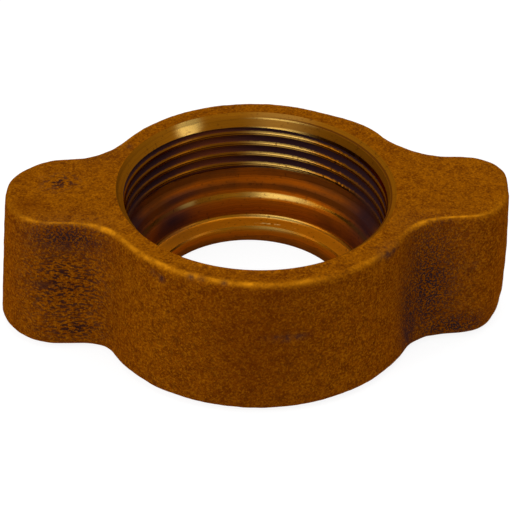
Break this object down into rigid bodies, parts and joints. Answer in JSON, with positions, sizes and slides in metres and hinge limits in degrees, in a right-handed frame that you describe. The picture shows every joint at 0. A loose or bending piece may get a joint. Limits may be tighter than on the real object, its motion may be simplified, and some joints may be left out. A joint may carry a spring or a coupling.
{
  "type": "lugged pipe coupling nut",
  "caption": "Cast ring-shaped coupling nut with hammer lugs, an inside thread, a relief groove and a stepped seat over a flanged through bore.",
  "frame": {"origin": "on the thread's axis, on the flat base that the nut rests on", "axes": "+Z along the thread's axis, out of the threaded mouth; +X and -X along the two lugs"},
  "size_m": [0.1276, 0.0848, 0.035],
  "materials": {
    "cast_brass": "sand-cast outside, machined inside"
  },
  "bodies": {
    "root": {"coupling_nut": "cast_brass"}
  },
  "joints": []
}
